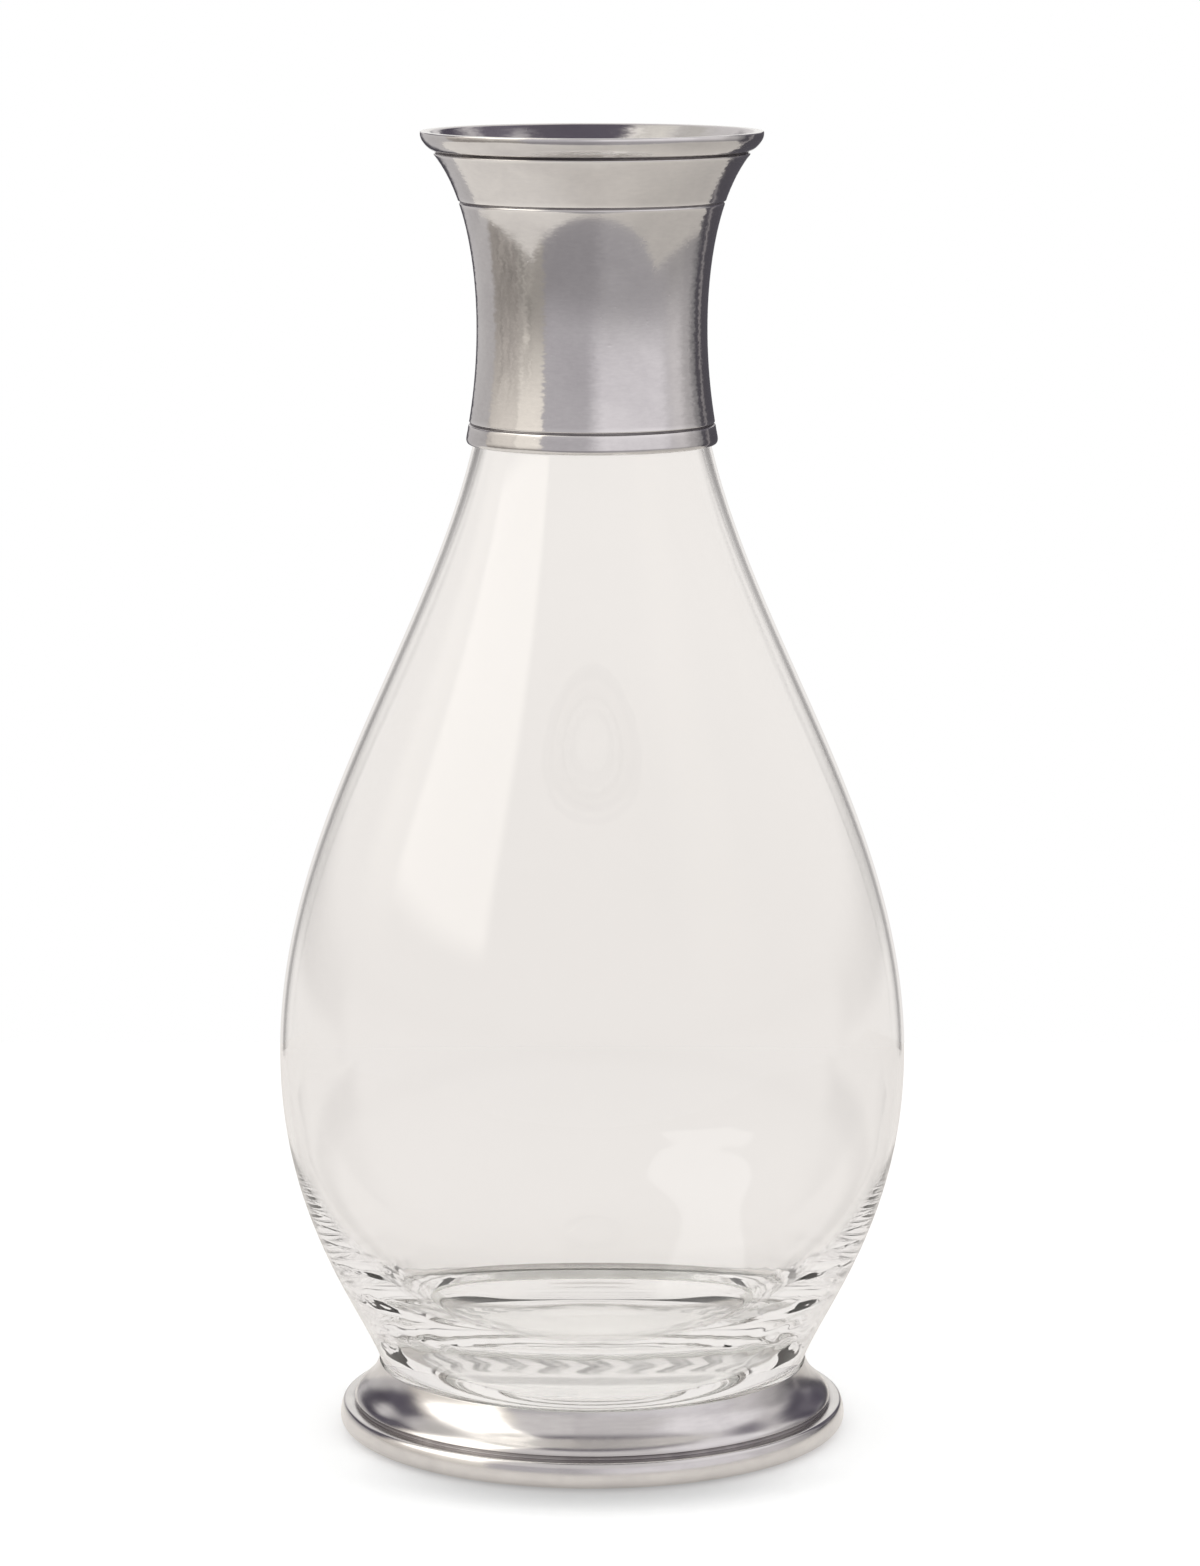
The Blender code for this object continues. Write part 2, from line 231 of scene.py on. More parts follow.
def buildLathe():
    tree = bpy.data.node_groups.new("lathe", "GeometryNodeTree")
    tree.is_modifier = True
    for label, socketType in (("Section", "NodeSocketGeometry"), ("Segments", "NodeSocketInt"),
                              ("Ripple Depth", "NodeSocketFloat"), ("Ripple Turns", "NodeSocketFloat"),
                              ("Ripple Slant", "NodeSocketFloat"), ("Ripple Rise", "NodeSocketFloat"),
                              ("Seed", "NodeSocketFloat"), ("Finish", "NodeSocketMaterial")):
        tree.interface.new_socket(label, in_out="INPUT", socket_type=socketType)
    tree.interface.new_socket("Turned", in_out="OUTPUT", socket_type="NodeSocketGeometry")
    given = tree.nodes.new("NodeGroupInput")
    result = tree.nodes.new("NodeGroupOutput")
    size = addNode(tree, "GeometryNodeAttributeDomainSize", {"Geometry": given.outputs["Section"]})
    columns = mathOf(tree, "ADD", given.outputs["Segments"], 1)
    grid = addNode(tree, "GeometryNodeMeshGrid",
                   {"Vertices X": size.outputs["Point Count"], "Vertices Y": columns})
    index = addNode(tree, "GeometryNodeInputIndex").outputs[0]
    row = mathOf(tree, "FLOOR", mathOf(tree, "DIVIDE", index, columns))
    column = mathOf(tree, "SUBTRACT", index, mathOf(tree, "MULTIPLY", row, columns))
    turn = mathOf(tree, "MULTIPLY", mathOf(tree, "DIVIDE", column, given.outputs["Segments"]), math.tau)

    def sampled(value, dataType):
        node = addNode(tree, "GeometryNodeSampleIndex", data_type=dataType, domain="POINT")
        feed(tree, given.outputs["Section"], node.inputs["Geometry"])
        feed(tree, value, node.inputs["Value"])
        feed(tree, row, node.inputs["Index"])
        return node.outputs["Value"]

    def named(name, dataType):
        node = addNode(tree, "GeometryNodeInputNamedAttribute", {"Name": name}, data_type=dataType)
        return sampled(node.outputs["Attribute"], dataType)

    place = sampled(addNode(tree, "GeometryNodeInputPosition").outputs[0], "FLOAT_VECTOR")
    outward = named("outward", "FLOAT_VECTOR")
    flat = addNode(tree, "ShaderNodeVectorRotate", {"Vector": place, "Angle": turn}, rotation_type="Z_AXIS")
    lean = addNode(tree, "ShaderNodeVectorRotate", {"Vector": outward, "Angle": turn}, rotation_type="Z_AXIS")
    # ribs that run up the wall in a zigzag, some deeper than others, and deepest at two sides
    height = partsOf(tree, flat.outputs[0])["Z"]
    rise = given.outputs["Ripple Rise"]
    zigzag = mathOf(tree, "DIVIDE", mathOf(tree, "PINGPONG", height, rise), rise)
    phase = mathOf(tree, "MULTIPLY_ADD", zigzag, given.outputs["Ripple Slant"],
                   mathOf(tree, "MULTIPLY", turn, given.outputs["Ripple Turns"]))
    around = addNode(tree, "ShaderNodeCombineXYZ", {"X": mathOf(tree, "COSINE", turn),
                                                    "Y": mathOf(tree, "SINE", turn)})
    noise = addNode(tree, "ShaderNodeTexNoise", {"Vector": around.outputs[0], "W": given.outputs["Seed"],
                                                 "Scale": ribs["patchScale"], "Detail": 1.0},
                    noise_dimensions="4D")
    patches = ramp(tree, noise.outputs[0], *noiseRange, ribs["shallowest"], 1.0)
    swing = mathOf(tree, "MULTIPLY", mathOf(tree, "SINE", phase), patches)
    aside = mathOf(tree, "ABSOLUTE", mathOf(tree, "COSINE", turn))
    sides = ramp(tree, aside, ribs["sideFrom"], ribs["sideFull"], ribs["frontShare"], 1.0)
    swing = mathOf(tree, "MULTIPLY", swing, sides)
    depth = mathOf(tree, "MULTIPLY", given.outputs["Ripple Depth"], named("ripple", "FLOAT"))
    shift = vectorOf(tree, "SCALE", lean.outputs[0], scale=mathOf(tree, "MULTIPLY", swing, depth))
    spot = vectorOf(tree, "ADD", flat.outputs[0], shift)
    moved = addNode(tree, "GeometryNodeSetPosition", {"Geometry": grid.outputs["Mesh"], "Position": spot})
    flow = moved.outputs[0]
    for name in ("groove", "edge", "along"):
        keep = addNode(tree, "GeometryNodeStoreNamedAttribute", {"Geometry": flow, "Name": name},
                       data_type="FLOAT", domain="POINT")
        feed(tree, named(name, "FLOAT"), keep.inputs["Value"])
        flow = keep.outputs[0]
    weld = addNode(tree, "GeometryNodeMergeByDistance", {"Geometry": flow, "Distance": weldReach * mm})
    smooth = addNode(tree, "GeometryNodeSetShadeSmooth", {"Geometry": weld.outputs[0]})
    plain = addNode(tree, "GeometryNodeRealizeInstances", {"Geometry": smooth.outputs[0]})
    finish = addNode(tree, "GeometryNodeSetMaterial", {"Geometry": plain.outputs[0]})
    feed(tree, given.outputs["Finish"], finish.inputs["Material"])
    feed(tree, finish.outputs[0], result.inputs["Turned"])
    return tree


lathe = buildLathe()


def chainMesh(name, section, masks):
    # one vertex for each point of the section, with its masks and its outward direction
    mesh = bpy.data.meshes.new(name)
    mesh.from_pydata([(p.x * mm, 0, p.y * mm) for p in section],
                     [(i, i + 1) for i in range(len(section) - 1)], [])
    outward = mesh.attributes.new("outward", "FLOAT_VECTOR", "POINT")
    for i in range(len(section)):
        along = section[min(i + 1, len(section) - 1)] - section[max(i - 1, 0)]
        length = along.length or 1
        outward.data[i].vector = (along.y / length, 0, -along.x / length)
    run = [0.0]
    for here, after in zip(section, section[1:]):
        run.append(run[-1] + (after - here).length)
    masks = {"ripple": None, "groove": None, "edge": None, "along": run, **masks}
    for label, values in masks.items():
        layer = mesh.attributes.new(label, "FLOAT", "POINT")
        values = values or [0.0] * len(section)
        for i, value in enumerate(values):
            layer.data[i].value = value
    return mesh


def turnPiece(name, section, finish, shape, masks=None):
    guide = bpy.data.objects.new(name + "Section", chainMesh(name + "Section", section, masks or {}))
    bpy.context.scene.collection.objects.link(guide)
    modifier = guide.modifiers.new("lathe", "NODES")
    modifier.node_group = lathe
    given = {"Segments": shape["segments"], "Ripple Depth": shape.get("rippleDepth", 0.0) * mm,
             "Ripple Turns": shape.get("rippleTurns", 1.0), "Ripple Slant": shape.get("rippleSlant", 0.0),
             "Ripple Rise": shape.get("rippleRise", 1.0) * mm, "Seed": shape.get("seed", 0.0),
             "Finish": finish}
    for item in lathe.interface.items_tree:
        if item.item_type == "SOCKET" and item.in_out == "INPUT" and item.name in given:
            modifier[item.identifier] = given[item.name]
    seen = guide.evaluated_get(bpy.context.evaluated_depsgraph_get())
    mesh = bpy.data.meshes.new_from_object(seen)
    mesh.name = name
    piece = bpy.data.objects.new(name, mesh)
    bpy.context.scene.collection.objects.link(piece)
    guide.modifiers.remove(modifier)
    bpy.data.objects.remove(guide, do_unlink=True)
    print(name, "turned:", len(mesh.polygons), "faces")
    return piece


# shared effects of the finishes

pitRange = (0.66, 0.8)
cleanestDirt = 0.7


def makeLatheLines():
    # fine rings left by the turning tool, broken up along the turn
    group, given, result = newGroup("latheLines", ["Place"], ["Along", "Lines per mm", "Breaks"],
                                    ["Height", "Streak", "Sway"])
    parts = partsOf(group, given.outputs["Place"])
    flat = addNode(group, "ShaderNodeCombineXYZ", {"X": parts["X"], "Y": parts["Y"]}).outputs[0]
    turn = vectorOf(group, "SCALE", vectorOf(group, "NORMALIZE", flat), scale=given.outputs["Breaks"])
    turned = partsOf(group, turn)
    step = mathOf(group, "MULTIPLY", given.outputs["Along"], given.outputs["Lines per mm"])

    def rings(stretch, detail):
        where = addNode(group, "ShaderNodeCombineXYZ", {"X": turned["X"], "Y": turned["Y"],
                                                        "Z": mathOf(group, "MULTIPLY", step, stretch)})
        return noiseOf(group, where.outputs[0], 1.0, detail, Roughness=0.6)

    feed(group, rings(stretch=1.0, detail=3.0), result.inputs["Height"])
    feed(group, rings(stretch=0.22, detail=2.0), result.inputs["Streak"])
    feed(group, rings(stretch=0.8, detail=1.0), result.inputs["Sway"])
    return group


def makeMottle():
    # soft clouds and small pits of a cast and handled surface
    group, given, result = newGroup("mottle", ["Place"], ["Cloud mm", "Pit mm"], ["Cloud", "Pits"])
    cloudScale = mathOf(group, "DIVIDE", 1 / mm, given.outputs["Cloud mm"])
    pitScale = mathOf(group, "DIVIDE", 1 / mm, given.outputs["Pit mm"])
    cloud = noiseOf(group, given.outputs["Place"], cloudScale, 4.0, Roughness=0.55, Distortion=0.6)
    pits = noiseOf(group, given.outputs["Place"], pitScale, 2.0)
    feed(group, ramp(group, cloud, *noiseRange), result.inputs["Cloud"])
    feed(group, ramp(group, pits, *pitRange), result.inputs["Pits"])
    return group


def makePatina():
    # dark polish left in the turned lines, and edges that hands keep bright
    group, given, result = newGroup("patina", [], ["Groove", "Edge", "Cloud"], ["Dirt", "Wear"])
    uneven = ramp(group, given.outputs["Cloud"], 0.0, 1.0, cleanestDirt, 1.0)
    feed(group, mathOf(group, "MULTIPLY", given.outputs["Groove"], uneven), result.inputs["Dirt"])
    feed(group, mathOf(group, "MULTIPLY", given.outputs["Edge"], uneven), result.inputs["Wear"])
    return group


latheLines, mottle, patina = makeLatheLines(), makeMottle(), makePatina()


def objectPlace(tree):
    return addNode(tree, "ShaderNodeTexCoord").outputs["Object"]


def attributeOf(tree, name):
    return addNode(tree, "ShaderNodeAttribute", attribute_name=name).outputs["Fac"]


def useGroup(tree, group, inputs):
    return addNode(tree, "ShaderNodeGroup", inputs, node_tree=group).outputs


# materials

glassLook = {"colour": (0.982, 0.98, 0.975, 1), "deep": (0.975, 0.974, 0.968, 1), "ior": 1.5,
             "cloudMm": 60.0, "waveMm": 22.0, "waveDepth": 0.004}


def makeGlass(look):
    material, tree, shader = newMaterial("clearGlass")
    place = objectPlace(tree)
    cloud = useGroup(tree, mottle, {"Place": place, "Cloud mm": look["cloudMm"], "Pit mm": look["waveMm"]})
    feed(tree, mixColour(tree, cloud["Cloud"], look["colour"], look["deep"]), shader.inputs["Base Color"])
    wave = noiseOf(tree, place, 1 / (look["waveMm"] * mm), 1.0)
    bump = addNode(tree, "ShaderNodeBump", {"Height": wave, "Strength": 1.0,
                                            "Distance": look["waveDepth"] * mm})
    feed(tree, bump.outputs[0], shader.inputs["Normal"])
    shader.inputs["Roughness"].default_value = 0.0
    shader.inputs["IOR"].default_value = look["ior"]
    shader.inputs["Transmission Weight"].default_value = 1.0
    return material


collarLook = {
    "bright": (0.705, 0.688, 0.669, 1), "dull": (0.575, 0.557, 0.55, 1),
    "dirt": (0.13, 0.115, 0.125, 1), "worn": (0.80, 0.785, 0.765, 1),
    "cloudTone": 0.45, "streakTone": 0.4, "lineTone": 0.7, "lineLevel": 0.4,
    "roughness": 0.12, "roughCloud": 0.04, "roughLines": 0.04, "roughDirt": 0.25, "anisotropy": 0.2,
    "linesPerMm": 1.9, "breaks": 14.0, "lineDepth": 0.003, "sway": 0.1,
    "cloudMm": 16.0, "pitMm": 1.1, "pitDepth": 0.006,
}
footLook = {
    **collarLook, "dirt": (0.30, 0.28, 0.285, 1), "worn": (0.64, 0.625, 0.61, 1),
    "roughness": 0.18, "roughCloud": 0.06, "linesPerMm": 1.6, "breaks": 10.0,
    "lineDepth": 0.001, "sway": 0.03, "cloudMm": 12.0,
}


def makePewter(name, look):
    material, tree, shader = newMaterial(name)
    place = objectPlace(tree)
    lines = useGroup(tree, latheLines, {"Place": place, "Along": attributeOf(tree, "along"),
                                        "Lines per mm": look["linesPerMm"], "Breaks": look["breaks"]})
    cast = useGroup(tree, mottle, {"Place": place, "Cloud mm": look["cloudMm"], "Pit mm": look["pitMm"]})
    aged = useGroup(tree, patina, {"Groove": attributeOf(tree, "groove"), "Edge": attributeOf(tree, "edge"),
                                   "Cloud": cast["Cloud"]})
    tone = mathOf(tree, "ADD", mathOf(tree, "MULTIPLY", cast["Cloud"], look["cloudTone"]),
                  mathOf(tree, "MULTIPLY", lines["Streak"], look["streakTone"]))
    tone = mathOf(tree, "MULTIPLY_ADD", mathOf(tree, "SUBTRACT", lines["Height"], look["lineLevel"]),
                  look["lineTone"], tone)
    colour = mixColour(tree, tone, look["bright"], look["dull"])
    colour = mixColour(tree, aged["Wear"], colour, look["worn"])
    colour = mixColour(tree, aged["Dirt"], colour, look["dirt"])
    feed(tree, colour, shader.inputs["Base Color"])
    rough = mathOf(tree, "MULTIPLY_ADD", mathOf(tree, "SUBTRACT", cast["Cloud"], 0.5), look["roughCloud"],
                   look["roughness"])
    rough = mathOf(tree, "MULTIPLY_ADD", mathOf(tree, "SUBTRACT", lines["Height"], 0.5), look["roughLines"],
                   rough)
    rough = mathOf(tree, "MULTIPLY_ADD", aged["Dirt"], look["roughDirt"], rough)
    feed(tree, rough, shader.inputs["Roughness"])
    relief = mathOf(tree, "SUBTRACT", mathOf(tree, "MULTIPLY", lines["Height"], look["lineDepth"] * mm),
                    mathOf(tree, "MULTIPLY", cast["Pits"], look["pitDepth"] * mm))
    bump = addNode(tree, "ShaderNodeBump", {"Height": relief, "Strength": 1.0, "Distance": 1.0})
    # each fine ring leans a little to the side, which frays the upright edges in reflections
    around = vectorOf(tree, "NORMALIZE", vectorOf(tree, "CROSS_PRODUCT", (0, 0, 1), place))
    lean = mathOf(tree, "MULTIPLY", mathOf(tree, "SUBTRACT", lines["Sway"], 0.5), look["sway"])
    normal = vectorOf(tree, "ADD", bump.outputs[0], vectorOf(tree, "SCALE", around, scale=lean))
    feed(tree, vectorOf(tree, "NORMALIZE", normal), shader.inputs["Normal"])
    shader.inputs["Metallic"].default_value = 1.0
    shader.inputs["Anisotropic"].default_value = look["anisotropy"]
    shader.inputs["Anisotropic Rotation"].default_value = 0.25
    return material


cementLook = {"pale": (0.96, 0.95, 0.93, 1), "dark": (0.91, 0.895, 0.87, 1), "cloudMm": 5.0, "grainMm": 0.6,
              "grainDepth": 0.05, "roughness": 0.7, "roughCloud": 0.08}


def makeCement(look):
    material, tree, shader = newMaterial("cement")
    skim = useGroup(tree, mottle, {"Place": objectPlace(tree), "Cloud mm": look["cloudMm"],
                                   "Pit mm": look["grainMm"]})
    feed(tree, mixColour(tree, skim["Cloud"], look["pale"], look["dark"]), shader.inputs["Base Color"])
    relief = mathOf(tree, "MULTIPLY", skim["Pits"], -look["grainDepth"] * mm)
    bump = addNode(tree, "ShaderNodeBump", {"Height": relief, "Strength": 1.0, "Distance": 1.0})
    feed(tree, bump.outputs[0], shader.inputs["Normal"])
    rough = ramp(tree, skim["Cloud"], 0.0, 1.0, look["roughness"] - look["roughCloud"],
                 look["roughness"] + look["roughCloud"])
    feed(tree, rough, shader.inputs["Roughness"])
    return material


cement = makeCement(cementLook)
print("finishes made")


def place(piece, node, slot):
    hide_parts(node)
    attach(piece, "root")


# glass body

glassShape = {
    "segments": 256, "shoulderSteps": 72, "heelSteps": 56, "bowlSteps": 70, "floorSteps": 6, "roundSteps": 6,
    "neckRadius": 19.8, "waistHeight": 213.2, "neckPull": 47.6,
    "bellyRadius": 60.0, "bellyHeight": 73.8, "bellyPullUp": 52.4, "bellyPullDown": 36.4,
    "seatRadius": 40.2, "seatTop": 9.8, "seatPull": 10.2, "undersideRound": 1.0,
    "underside": 6.0, "undersideSteps": 8, "bottomSteps": 12, "top": 231.0, "rimRound": 0.6,
    "neckWall": 1.6, "bellyWall": 1.0,
    "floorHeight": 12.0, "floorRadius": 9.0, "floorPull": 20.0, "heelRise": 45.0, "heelPull": 28.0,
    "rippleLow": 19.0, "rippleMiddle": 24.5, "rippleHigh": 30.0,
    "rippleDepth": 0.12, "rippleTurns": 26.0, "rippleSlant": 2.6, "rippleRise": 2.4, "rippleSpacing": 0.4,
    "seed": 3.0,
}


def glassOutline(shape):
    neck = at(shape["neckRadius"], shape["waistHeight"])
    belly = at(shape["bellyRadius"], shape["bellyHeight"])
    seat = at(shape["seatRadius"], shape["seatTop"])
    up = at(0, 1)
    shoulder = bezier(neck, neck - up * shape["neckPull"], belly + up * shape["bellyPullUp"], belly,
                      shape["shoulderSteps"])
    heel = bezier(belly, belly - up * shape["bellyPullDown"], seat + up * shape["seatPull"], seat,
                  shape["heelSteps"])
    return shoulder + heel[1:]


def glassSection(shape):
    outer = glassOutline(shape)
    inner = []
    for i, here in enumerate(outer):
        along = outer[min(i + 1, len(outer) - 1)] - outer[max(i - 1, 0)]
        across = at(along.y, -along.x).normalized()
        share = (here.y - shape["bellyHeight"]) / (shape["waistHeight"] - shape["bellyHeight"])
        share = min(max(share, 0), 1)
        inner.append(here + across * (shape["bellyWall"] + (shape["neckWall"] - shape["bellyWall"]) * share))
    heelHeight = shape["floorHeight"] + shape["heelRise"]
    upper = [p for p in inner if p.y > heelHeight]
    heel = at(radiusAt(inner, heelHeight), heelHeight)
    slope = (heel - upper[-1]).normalized()
    edge = at(shape["floorRadius"], shape["floorHeight"])
    bowl = bezier(heel, heel + slope * shape["heelPull"], edge + at(shape["floorPull"], 0), edge,
                  shape["bowlSteps"])
    steps = shape["floorSteps"]
    floor = [at(edge.x * i / steps, edge.y) for i in range(steps)]
    bore = shape["neckRadius"] - shape["neckWall"]
    rimRound = shape["rimRound"]
    rimIn = at(bore + rimRound, shape["top"] - rimRound)
    rimOut = at(shape["neckRadius"] - rimRound, shape["top"] - rimRound)
    rim = arc(rimIn, rimRound, rimRound, 180, 90, shape["roundSteps"])
    rim += arc(rimOut, rimRound, rimRound, 90, 0, shape["roundSteps"])
    under = shape["undersideRound"]
    heelCentre = at(shape["seatRadius"] - under, shape["underside"] + under)
    foot = arc(heelCentre, under, under, 0, -90, shape["undersideSteps"])
    steps = shape["bottomSteps"]
    bottom = [at(foot[-1].x * i / steps, shape["underside"]) for i in reversed(range(steps))]
    inside = floor + bowl[::-1]
    ribbed = [p for p in inside if shape["rippleLow"] < p.y < shape["rippleHigh"]]
    first = inside.index(ribbed[0])
    inside[first:first + len(ribbed)] = refine(ribbed, shape["rippleSpacing"])
    section = inside + upper[::-1] + rim + outer + foot + bottom
    ripple = []
    for p in inside:
        rise = (p.y - shape["rippleLow"]) / (shape["rippleMiddle"] - shape["rippleLow"])
        fall = (shape["rippleHigh"] - p.y) / (shape["rippleHigh"] - shape["rippleMiddle"])
        ripple.append(min(max(min(rise, fall), 0), 1))
    return section, {"ripple": ripple + [0.0] * (len(section) - len(inside))}


section, masks = glassSection(glassShape)
glass = turnPiece("glassBody", section, makeGlass(glassLook), glassShape, masks)
place(glass, "glass_body", "clear_glass")
neckOutline = glassOutline(glassShape)


def besideGlass(low, high, steps, clear):
    # points up the outside of the glass, at an even distance from it
    heights = [low + (high - low) * i / steps for i in range(steps + 1)]
    return [at(radiusAt(neckOutline, z) + clear, z) for z in heights]


# collar

collarShape = {
    "segments": 256, "spacing": 0.8, "lipSteps": 14, "flareSteps": 44, "barrelSteps": 26, "edgeSteps": 10,
    "pocketSteps": 5, "mouthSteps": 24,
    "bottom": 191.2, "waistHeight": glassShape["waistHeight"], "waistRadius": 21.8, "wall": 1.0, "gap": 0.3,
    "edgeWall": 1.25, "edgeRise": 1.4, "edgeRun": 0.9,
    "flareTop": 245.75, "flareRadius": 29.85, "flareWaistPull": 5.5, "flareTopDrop": 9.4, "flareTopLean": 7.6,
    "lipBottom": 246.35, "lipRadius": 32.3, "lipTop": 250.0, "crestRound": 0.6, "lipDrop": 1.2,
    "lipLean": 0.9, "lipFootRise": 0.25, "lipFootRound": 0.25, "lipGroove": 0.7, "lipGrooveRound": 0.15,
    "mouthRadius": 30.8, "mouthDrop": 6.4, "mouthLean": 6.4,
    "throatRadius": 18.2, "throatTop": 233.6, "throatLean": 2.2, "throatPull": 3.4, "throatRound": 0.5,
    "shoulder": 232.0, "pocketBottom": 202.2, "pocketGap": 1.0,
    "lineHeights": (236.7, 195.1), "lineWidth": 0.62, "lineDepth": 0.34, "lineRound": 0.12,
    "grooveReach": 0.55, "edgeReach": 0.8,
}


def collarSection(shape):
    crest = at(shape["lipRadius"], shape["lipTop"])
    lipFoot = at(shape["flareRadius"], shape["lipBottom"])
    flareTop = at(shape["flareRadius"], shape["flareTop"])
    waist = at(shape["waistRadius"], shape["waistHeight"])
    glassEdge = radiusAt(neckOutline, shape["bottom"]) + shape["gap"]
    foot = at(glassEdge + shape["edgeWall"], shape["bottom"])
    lipStart = crest - at(0, shape["crestRound"])
    lip = bezier(lipStart, lipStart - at(0, shape["lipDrop"]),
                 lipFoot + at(shape["lipLean"], shape["lipFootRise"]), lipFoot, shape["lipSteps"])
    flare = bezier(flareTop, flareTop - at(shape["flareTopLean"], shape["flareTopDrop"]),
                   waist + at(0, shape["flareWaistPull"]), waist, shape["flareSteps"])
    middle = at(shape["waistRadius"], (shape["waistHeight"] + shape["bottom"]) / 2)
    barrel = bezier(waist, waist.lerp(middle, 2 / 3), foot.lerp(middle, 2 / 3), foot, shape["barrelSteps"])
    side = flare + barrel[1:]
    lines = []
    stretches = []
    for height in shape["lineHeights"]:
        above, line, side = cutLine(side, height, shape["lineWidth"], shape["lineDepth"])
        stretches += [above, line]
        lines.append(line)
    edgeTop = shape["bottom"] + shape["edgeRise"]
    edgeStart = at(radiusAt(side, edgeTop), edgeTop)
    edgeEnd = foot - at(shape["edgeRun"], 0)
    side = [p for p in side if p.y > edgeStart.y]
    side += bezier(edgeStart, edgeStart.lerp(foot, cornerPull), edgeEnd.lerp(foot, cornerPull), edgeEnd,
                   shape["edgeSteps"])
    grooveDeep = at(shape["flareRadius"] - shape["lipGroove"], (shape["lipBottom"] + shape["flareTop"]) / 2)
    outer = [crest] + lip + [grooveDeep]
    for stretch in stretches:
        outer += stretch
    outer += side
    # inside, from the lower edge up: beside the glass, round the cement, over the rim, out to the mouth
    steps = shape["pocketSteps"]
    inside = besideGlass(shape["bottom"], shape["pocketBottom"], steps, shape["gap"])
    inside += besideGlass(shape["pocketBottom"], shape["waistHeight"], steps, shape["pocketGap"])
    throat = at(shape["throatRadius"], shape["throatTop"])
    inside += [at(waist.x - shape["wall"], shape["shoulder"]), at(throat.x, shape["shoulder"])]
    mouth = at(shape["mouthRadius"], shape["lipTop"])
    trumpet = bezier(throat, throat + at(shape["throatLean"], shape["throatPull"]),
                     mouth - at(shape["mouthLean"], shape["mouthDrop"]), mouth, shape["mouthSteps"])
    points = outer + inside + trumpet
    corners = {0: shape["crestRound"], len(points) - 1: shape["crestRound"]}
    for spot, reach in ((lipFoot, shape["lipFootRound"]), (grooveDeep, shape["lipGrooveRound"]),
                        (flareTop, shape["lipFootRound"]), (throat, shape["throatRound"])):
        corners[points.index(spot)] = reach
    for line in lines:
        for spot in line:
            corners[points.index(spot)] = shape["lineRound"]
    points = soften(points, corners)
    section = refine(points + [points[0]], shape["spacing"])
    grooves = [line[1].lerp(line[2], 0.5) for line in lines] + [grooveDeep]
    edges = [crest, lipFoot, flareTop, foot] + [line[0] for line in lines] + [line[3] for line in lines]
    return section, {"groove": nearMask(section, grooves, shape["grooveReach"]),
                     "edge": nearMask(section, edges, shape["edgeReach"])}


section, masks = collarSection(collarShape)
collar = turnPiece("collarShell", section, makePewter("collarPewter", collarLook), collarShape, masks)
place(collar, "collar", "pewter")


# foot

footShape = {
    "segments": 288, "spacing": 0.6, "dishSteps": 40, "roundSteps": 16,
    "gap": 0.3, "dishTop": 13.6, "topRound": 0.25, "beadHeight": 6.3, "dishSpread": 4.95, "dishTopLean": 1.6,
    "dishTopPull": 5.3, "dishBeadLean": 0.75, "dishBeadPull": 2.0, "beadRound": 0.35, "beadLip": 0.2,
    "grooveDepth": 0.36, "grooveRound": 0.2, "ledge": 5.5, "roundSpread": 2.7, "roundHeight": 2.5,
    "shoulderWidth": 1.0, "shoulderRound": 0.3, "undercut": 4.1, "contactWidth": 4.5, "contactRound": 0.4,
    "recess": 2.4, "holeRadius": 38.2, "holeRound": 0.5, "flangeTop": 5.0,
    "grooveReach": 1.0, "edgeReach": 0.9,
}


def footSection(shape):
    cup = radiusAt(neckOutline, shape["dishTop"]) + shape["gap"]
    top = at(cup, shape["dishTop"])
    bead = at(cup + shape["dishSpread"], shape["beadHeight"])
    dish = bezier(top, top + at(shape["dishTopLean"], -shape["dishTopPull"]),
                  bead + at(-shape["dishBeadLean"], shape["dishBeadPull"]), bead, shape["dishSteps"])
    grooveTop = at(bead.x - shape["grooveDepth"], bead.y - shape["beadLip"])
    grooveFoot = at(bead.x - shape["grooveDepth"], shape["ledge"])
    widest = bead.x + shape["roundSpread"]
    shoulder = arc(at(widest - shape["shoulderWidth"], shape["roundHeight"]), shape["shoulderWidth"],
                   shape["ledge"] - shape["roundHeight"], 90, 0, shape["roundSteps"])
    under = arc(at(widest - shape["undercut"], shape["roundHeight"]), shape["undercut"],
                shape["roundHeight"], 0, -90, shape["roundSteps"])
    contactIn = under[-1].x - shape["contactWidth"]
    hole = shape["holeRadius"]
    inside = [at(contactIn, 0), at(contactIn, shape["recess"]), at(hole, shape["recess"]),
              at(hole, shape["flangeTop"]), at(cup, shape["flangeTop"])]
    points = dish + [grooveTop, grooveFoot] + shoulder + under[1:] + inside
    corners = {0: shape["topRound"]}
    for spot, reach in ((bead, shape["beadRound"]), (grooveTop, shape["grooveRound"]),
                        (grooveFoot, shape["grooveRound"]), (shoulder[0], shape["shoulderRound"]),
                        (inside[0], shape["contactRound"]), (inside[2], shape["holeRound"]),
                        (inside[3], shape["holeRound"])):
        corners[points.index(spot)] = reach
    points = soften(points, corners)
    section = refine(points + [points[0]], shape["spacing"])
    return section, {"groove": nearMask(section, [grooveTop.lerp(grooveFoot, 0.5)], shape["grooveReach"]),
                     "edge": nearMask(section, [top, bead, shoulder[3]], shape["edgeReach"])}


section, masks = footSection(footShape)
foot = turnPiece("footRing", section, makePewter("footPewter", footLook), footShape, masks)
place(foot, "foot", "pewter")


# cement, between the pewter and the glass

